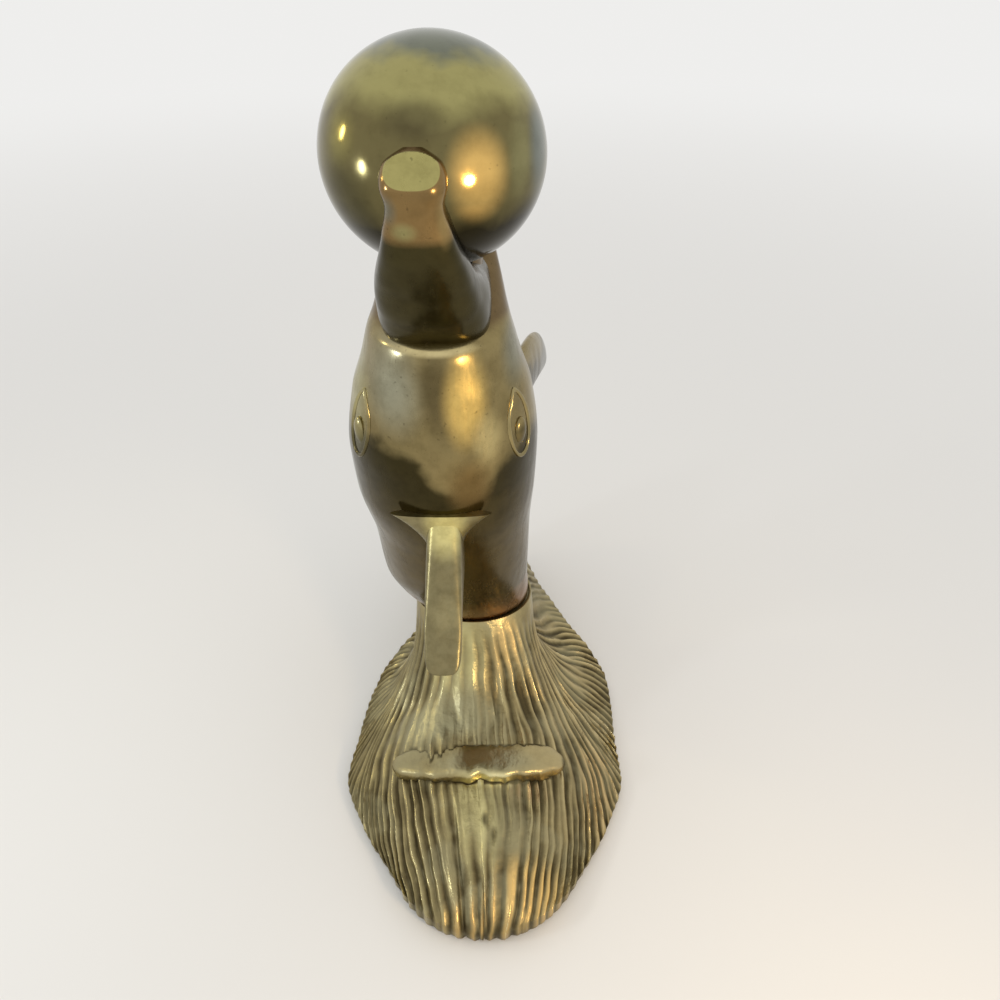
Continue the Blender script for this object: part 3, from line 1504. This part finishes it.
    def cheek(self, hand: Hand, turn: float, over_foot: float) -> Tuple[Vector, Vector]:
        """Point just under the cheek's skin and the way out of it.

        Args:
            hand: Side of the head.
            turn: Angle in radians from the side towards the back.
            over_foot: Height over the foot.

        Returns:
            The point and the way.
        """
        centre, half_width, half_depth = self.station(over_foot)
        cosine, sine = math.cos(turn), math.sin(turn)
        way = Vector((hand.value * cosine / half_width, -sine / half_depth, 0.0)).normalized()
        skin_point = centre + Vector((hand.value * half_width * cosine, -half_depth * sine, 0.0))
        return skin_point - way * self.eye_sink, way

    def eye_rim_form(self, hand: Hand) -> bpy.types.Mesh:
        """Raised almond rim of one eye.

        Args:
            hand: Side of the head.

        Returns:
            The closed mesh.
        """
        half_width = self.station(self.eye_over_foot)[1]
        steps, sides = self.eye_steps, self.eye_sides
        turns = [2.0 * math.pi * (side % sides) / sides for side in range(sides + 1)]
        table = []
        for step in range(steps + 1):
            angle = 2.0 * math.pi * (step % steps) / steps
            pointed = 1.0 - self.eye_point * max(0.0, math.sin(angle)) ** 2.0
            aside = math.cos(angle) * self.eye_width / 2.0 * pointed
            above = math.sin(angle) * self.eye_length / 2.0
            spot, way = self.cheek(hand, math.radians(self.eye_turn) + aside / half_width,
                                   self.eye_over_foot + above)
            backwards = Vector((hand.value * way.y, -abs(way.x), 0.0))
            outward = (backwards * aside + Vector((0.0, 0.0, above))).normalized()
            table.append([spot + (outward * math.cos(turn) + way * math.sin(turn)) * self.eye_rim
                          for turn in turns])
        table = np.array(table)
        worn = np.full(table.shape[:2], self.eye_worn[hand is Hand.RIGHT])
        return skin(table, {"jaw": np.zeros(table.shape[:2]), "worn": worn})

    def eye_ball_form(self, hand: Hand) -> bpy.types.Mesh:
        """Low dome near the wide lower end of one eye.

        Args:
            hand: Side of the head.

        Returns:
            The closed mesh.
        """
        build = bmesh.new()
        bmesh.ops.create_uvsphere(build, u_segments=40, v_segments=28, radius=self.pupil_radius)
        bmesh.ops.scale(build, verts=build.verts, vec=self.pupil_form)
        spot, way = self.cheek(hand, math.radians(self.eye_turn), self.eye_over_foot - self.pupil_drop)
        turn = Matrix.Rotation(math.atan2(way.y, way.x), 4, "Z")
        bmesh.ops.transform(build, matrix=Matrix.Translation(spot) @ turn, verts=build.verts)
        return made_mesh(build)

    def build(self, ball: HeldBall, finish: BodyBrass) -> bpy.types.Object:
        """Join the forms, cut the seats and dress the casting.

        Args:
            ball: Ball that it holds.
            finish: Finish of the casting.

        Returns:
            The piece.
        """
        tools = [(self.upper_jaw(ball), Joining.UNION), (self.mouth(ball), Joining.UNION)]
        for hand in Hand:
            tools += [(self.eye_rim_form(hand), Joining.UNION),
                      (self.eye_ball_form(hand), Joining.UNION)]
        bore = rod(STUD_RADIUS + GAP, FOOT - Vector((0.0, 0.0, 0.01)),
                   FOOT + Vector((0.0, 0.0, self.stud_in_body + GAP)))
        tools += [(self.lip_cut(ball), Joining.CUT), (ball.form(GAP), Joining.CUT),
                  (bore, Joining.CUT), (ball.bore(), Joining.CUT)]
        return piece("dolphin_casting", combined(self.form(), tools), finish.material(),
                     ("dolphin_body",), 35.0)


@dataclass
class DorsalFin:
    """Dorsal fin that sweeps down to a blunt tip, with its broad shoulder."""

    half_thickness: float = 0.0057
    over_foot: float = 0.0550
    root_half_chord: float = 0.0180
    reach: float = 0.0310
    drop: float = 0.0170
    tip_half_chord: float = 0.0075
    tip_tilt: float = 38.0
    tip_start: float = 0.82
    tip_length: float = 0.18
    tip_blunt: float = 2.5
    tip_chord_share: float = 0.45
    tip_thickness_share: float = 0.65
    narrowing: float = 1.2
    drop_power: float = 1.5
    blade_square: float = 3.6
    sunk: float = 0.0060
    shoulder_half_width: float = 0.0154
    shoulder_rise: float = 0.0165
    shoulder_length: float = 0.0170
    shoulder_half_depth: float = 0.0052
    shoulder_top_share: float = 0.42
    shoulder_sunk: float = 0.35
    shoulder_power: float = 2.2
    shoulder_square: float = 2.2
    fit: float = 0.00005

    def blade(self, dolphin: DolphinCasting) -> bpy.types.Mesh:
        """Blade of the fin.

        Args:
            dolphin: Casting that it stands on.

        Returns:
            The closed mesh.
        """
        centre, _, half_depth = dolphin.station(self.over_foot)
        root = np.array(centre) - (0.0, half_depth, 0.0)
        travel = np.sin(np.linspace(0.0, 0.5, 91) * math.pi) ** 0.9
        out = -self.sunk + (self.reach + self.sunk) * travel
        share = np.clip(out / self.reach, 0.0, None)
        closing = rounding(np.clip((share - self.tip_start) / self.tip_length, 0.0, None), self.tip_blunt)
        narrowing = np.clip(1.0 - share, 0.0, None) ** self.narrowing
        half_chord = self.tip_half_chord + (self.root_half_chord - self.tip_half_chord) * narrowing
        tilt = math.radians(self.tip_tilt) * share
        half_chord = half_chord * from_least(self.tip_chord_share, closing)
        chord = rows(0.0, np.sin(tilt), np.cos(tilt)) * half_chord[:, None]
        centres = root - rows(0.0, out, self.drop * share ** self.drop_power)
        across = rows(self.half_thickness * from_least(self.tip_thickness_share, closing), 0.0, 0.0)
        return loft(centres, across, chord, 120, self.blade_square)

    def shoulder(self, dolphin: DolphinCasting) -> bpy.types.Mesh:
        """Shoulder where the front edge runs out of the back.

        Args:
            dolphin: Casting that it stands on.

        Returns:
            The closed mesh.
        """
        part = np.linspace(0.0, 1.0, 49)
        over_foot = self.over_foot + self.shoulder_rise - self.shoulder_length * part
        aside, back, _, half_depth = dolphin.stations.at(over_foot)
        depth = self.shoulder_half_depth * from_least(self.shoulder_top_share, part)
        centres = rows(DOLPHIN_X + aside, back - half_depth + depth * self.shoulder_sunk,
                       SEAT_HEIGHT + over_foot)
        extra = (self.shoulder_half_width - self.half_thickness) * (1.0 - part) ** self.shoulder_power
        return loft(centres, rows(self.half_thickness + extra, 0.0, 0.0), rows(0.0, depth, 0.0), 112,
                    self.shoulder_square)

    def build(self, dolphin: DolphinCasting, finish: FinBrass) -> bpy.types.Object:
        """Join blade and shoulder, fit them to the dolphin's back and dress them."""
        mesh = combined(self.blade(dolphin), ((self.shoulder(dolphin), Joining.UNION),
                                              (dolphin.form(self.fit), Joining.CUT)))
        return piece("dorsal_fin_blade", mesh, finish.material(),
                     ("dorsal_fin",), 45.0)


@dataclass
class Flipper:
    """One flipper that reaches out from the chest and hooks down."""

    hand: Hand
    over_foot: float = 0.0895
    sunk: float = 0.0103
    root_back: float = 0.0100
    half_chord: float = 0.0105
    half_thickness: float = 0.0034
    reach: float = 0.0560
    spread: float = 0.0150
    hook: float = 0.0125
    hump: float = 0.0020
    spread_power: float = 0.8
    taper_power: float = 2.6
    tip_power: float = 0.6
    tip_chord_share: float = 0.10
    tip_thickness_share: float = 0.25
    tip_tilt: float = 52.0
    fit: float = 0.00005

    def form(self, dolphin: DolphinCasting) -> bpy.types.Mesh:
        """Blade of the flipper.

        Args:
            dolphin: Casting that it stands on.

        Returns:
            The closed mesh.
        """
        half_width = dolphin.station(self.over_foot)[1]
        root = np.array((DOLPHIN_X + self.hand.value * (half_width - self.sunk), self.root_back,
                         SEAT_HEIGHT + self.over_foot))
        part = np.sin(np.linspace(0.0, 0.5, 91) * math.pi)
        rise = self.hump * np.sin(math.pi * part) - self.hook * part ** 3.0
        aside = self.hand.value * self.spread * part ** self.spread_power
        centres = root + rows(aside, self.reach * part, rise)
        taper = np.clip(1.0 - part ** self.taper_power, 0.0, None) ** self.tip_power
        tilt = math.radians(self.tip_tilt) * part ** 2.0
        half_chord = self.half_chord * from_least(self.tip_chord_share, taper)
        chord = rows(0.0, np.sin(tilt), np.cos(tilt)) * half_chord[:, None]
        across = rows(self.half_thickness * from_least(self.tip_thickness_share, taper), 0.0, 0.0)
        return loft(centres, across, chord, 96)

    def build(self, dolphin: DolphinCasting, material: bpy.types.Material) -> bpy.types.Object:
        """Fit the flipper to the flank and dress it.

        Args:
            dolphin: Casting that it stands on.
            material: Finish of the flipper.

        Returns:
            The piece.
        """
        name = self.hand.name.lower()
        mesh = combined(self.form(dolphin), ((dolphin.form(self.fit), Joining.CUT),))
        return piece("flipper_blade_" + name, mesh, material,
                     ("flipper_" + name,))


@dataclass
class Fixings:
    """Stud, washer, nut and ball pin, which keep their frame meshes."""

    steel_nodes: Tuple[str, ...] = ("fixing_stud", "fixing_washer", "fixing_nut")
    brass_nodes: Tuple[str, ...] = ("ball_pin",)

    def dress(self, steel: bpy.types.Material, brass: bpy.types.Material) -> None:
        """Give the nodes their finishes.

        Args:
            steel: Finish of the steel pieces.
            brass: Finish of the pin.
        """
        for names, material in ((self.steel_nodes, steel), (self.brass_nodes, brass)):
            for name in names:
                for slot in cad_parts[name].material_slots:
                    slot.material = material
                LOG.info("%s: dressed", name)


@dataclass(frozen=True)
class Lamp:
    """Soft lamp with its power in watts."""

    name: str
    place: Tuple[float, float, float]
    size: Tuple[float, float]
    power: float
    colour: Colour

    def hang(self, aim: Vector) -> None:
        """Hang the lamp so that it faces a point.

        Args:
            aim: The point.
        """
        light = bpy.data.lights.new(self.name, "AREA")
        light.shape = "ELLIPSE"
        light.size, light.size_y = self.size
        light.energy = self.power
        light.color = self.colour
        hung = bpy.data.objects.new(self.name, light)
        hung.location = self.place
        hung.rotation_euler = (aim - Vector(self.place)).to_track_quat("-Z", "Y").to_euler()
        bpy.context.scene.collection.objects.link(hung)


@dataclass
class Studio:
    """Pale floor, soft light and the camera."""

    floor_size: float = 6.0
    floor_ahead: float = 0.3
    floor_drop: float = 0.0002
    floor_roughness: float = 0.75
    floor_colour: Colour = (0.78, 0.77, 0.75)
    sky_colour: Colour = (1.0, 0.995, 0.98)
    sky_light: float = 0.92
    sky_seen: float = 0.86
    sweep_start: float = 0.15
    sweep_end: float = 1.80
    eye: Tuple[float, float, float] = (0.006, -0.207, 0.268)
    pitch: float = 53.2
    lens: float = 27.04
    sensor: float = 36.0
    clip: float = 0.005
    aim: float = 0.12
    lamps: Tuple[Lamp, ...] = (
        Lamp("cool_window", (-0.30, -0.14, 0.21), (0.04, 0.06), 0.14, (0.88, 0.94, 1.00)),
        Lamp("warm_lamp", (0.17, -0.246, 0.168), (0.05, 0.05), 0.25, (1.00, 0.74, 0.42)),
        Lamp("golden_lamp", (-0.308, 0.015, 0.30), (0.025, 0.05), 0.065, (1.00, 0.86, 0.48)))

    def seen(self, tree: bpy.types.NodeTree) -> Socket:
        """Share that is 1 for what the camera, a mirror or glass sees.

        Args:
            tree: Node tree to add it to.

        Returns:
            The share.
        """
        path = tree.nodes.new("ShaderNodeLightPath")
        share = path.outputs["Is Camera Ray"]
        for name in ("Is Glossy Ray", "Is Transmission Ray"):
            most = tree.nodes.new("ShaderNodeMath")
            most.operation = "MAXIMUM"
            tree.links.new(share, most.inputs[0])
            tree.links.new(path.outputs[name], most.inputs[1])
            share = most.outputs[0]
        return share

    def floor(self) -> None:
        """Lay the floor, which runs into the backdrop far from the object."""
        build = bmesh.new()
        bmesh.ops.create_grid(build, x_segments=4, y_segments=4, size=self.floor_size / 2.0)
        bmesh.ops.translate(build, verts=build.verts,
                            vec=(0.0, self.floor_size * self.floor_ahead, -self.floor_drop))
        mesh = made_mesh(build)
        laid = bpy.data.objects.new("studio_floor", mesh)
        recipe = Recipe("studio_floor_paint")
        colour = recipe.blend(recipe.cloud(0.5, 2.0), self.floor_colour,
                              tuple(0.97 * part for part in self.floor_colour))
        mesh.materials.append(recipe.finish(colour, self.floor_roughness, 0.0))
        far = recipe.rise(recipe.far(recipe.place), self.sweep_start, self.sweep_end)
        backdrop = recipe.nodes.new("ShaderNodeEmission")
        backdrop.inputs["Color"].default_value = (*self.sky_colour, 1.0)
        backdrop.inputs["Strength"].default_value = self.sky_seen
        mixed = recipe.nodes.new("ShaderNodeMixShader")
        recipe.join(recipe.times(far, self.seen(recipe.material.node_tree)), mixed.inputs[0])
        recipe.links.new(recipe.shader.outputs[0], mixed.inputs[1])
        recipe.links.new(backdrop.outputs[0], mixed.inputs[2])
        recipe.links.new(mixed.outputs[0], recipe.nodes["Material Output"].inputs["Surface"])
        bpy.context.scene.collection.objects.link(laid)

    def sky(self) -> None:
        """Set the pale world, seen a little darker than it lights."""
        world = bpy.data.worlds.new("studio_sky")
        world.use_nodes = True
        tree = world.node_tree
        strength = tree.nodes.new("ShaderNodeMapRange")
        strength.inputs["To Min"].default_value = self.sky_light
        strength.inputs["To Max"].default_value = self.sky_seen
        tree.links.new(self.seen(tree), strength.inputs["Value"])
        back = tree.nodes["Background"]
        back.inputs["Color"].default_value = (*self.sky_colour, 1.0)
        tree.links.new(strength.outputs["Result"], back.inputs["Strength"])
        bpy.context.scene.world = world

    def camera(self) -> None:
        """Set the camera at the photograph's angle."""
        lens = bpy.data.cameras.new("camera")
        lens.lens = self.lens
        lens.sensor_width = self.sensor
        lens.clip_start = self.clip
        shot = bpy.data.objects.new("camera", lens)
        shot.location = self.eye
        shot.rotation_euler = (math.radians(self.pitch), 0.0, 0.0)
        bpy.context.scene.collection.objects.link(shot)
        bpy.context.scene.camera = shot

    def build(self) -> None:
        """Make the whole studio."""
        self.floor()
        self.sky()
        for lamp in self.lamps:
            lamp.hang(Vector((0.0, 0.0, self.aim)))
        self.camera()
        bpy.context.scene.view_settings.view_transform = "Standard"
        LOG.info("studio: ready")


def main() -> None:
    """Build the studio and every casting."""
    logging.basicConfig(level=logging.INFO, format="%(name)s %(message)s")
    Studio().build()
    WaveCasting().build(WaveBrass())
    ball = HeldBall()
    dolphin = DolphinCasting()
    body = dolphin.build(ball, BodyBrass())
    brass = body.data.materials[0]
    ball.build(BallBrass())
    DorsalFin().build(dolphin, FinBrass())
    for hand in Hand:
        Flipper(hand).build(dolphin, brass)
    Fixings().dress(ZincSteel().material(), brass)


if __name__ == "__main__":
    main()
